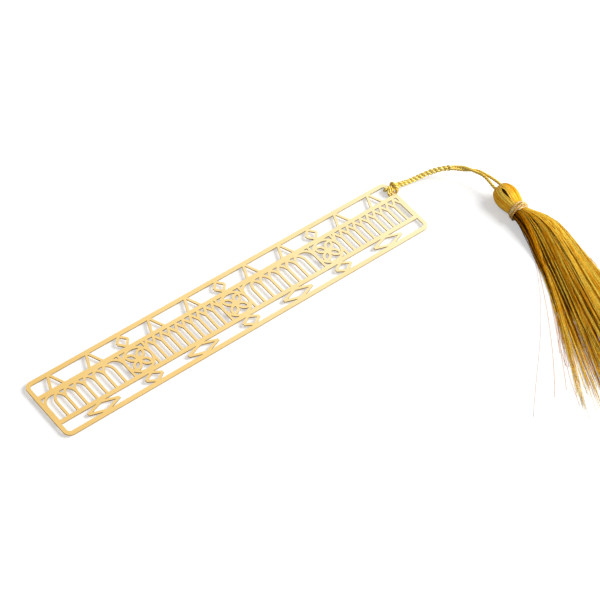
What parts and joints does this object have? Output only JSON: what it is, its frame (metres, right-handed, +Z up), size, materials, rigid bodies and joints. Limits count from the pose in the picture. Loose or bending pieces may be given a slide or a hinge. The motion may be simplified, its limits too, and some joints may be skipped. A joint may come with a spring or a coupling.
{
  "type": "bookmark",
  "caption": "Flat fretted brass page marker with a silk tassel on a doubled cord, tied by a lark's head hitch to the bar at its upper end corner.",
  "frame": {"origin": "on the table, under the middle of the plate and its hitch taken together", "axes": "+X along the plate to the end with the tassel, +Y across the plate to the edge by the hitch, +Z up from the table"},
  "size_m": [0.1552, 0.1044, 0.0069],
  "materials": {
    "plate_brass": "bright etched sheet, softly polished",
    "silk_cord": "twisted lustrous cord",
    "silk_thread": "lustrous floss",
    "binding_thread": "metallic gold thread"
  },
  "bodies": {
    "plate": {"etched_plate": "plate_brass", "cord_hitch": "silk_cord"},
    "cord_start": {"cord_root": "silk_cord"},
    "cord": {"cord_twist": "silk_cord", "cord_leg_outer": "silk_cord", "cord_leg_inner": "silk_cord"},
    "tassel": {"cord_knot": "silk_cord", "tassel_head": "silk_thread", "neck_binding": "binding_thread", "tassel_skirt": "silk_thread"}
  },
  "joints": [
    {"name": "cord_sway", "type": "hinge", "parent": "plate", "child": "cord_start", "pos_m": [0.06403, 0.00664, 0.00165], "axis": [0, 0, 1], "range_deg": [-60, 90]},
    {"name": "cord_lift", "type": "hinge", "parent": "cord_start", "child": "cord", "pos_m": [0.06603, 0.00634, 0.0013], "axis": [-0.1483, -0.9889, 0], "range_deg": [-60, 90]},
    {"name": "tassel_nod", "type": "hinge", "parent": "cord", "child": "tassel", "pos_m": [0.08603, -0.01137, 0.00369], "axis": [-0.9945, 0.1045, 0], "range_deg": [-60, 65]}
  ]
}
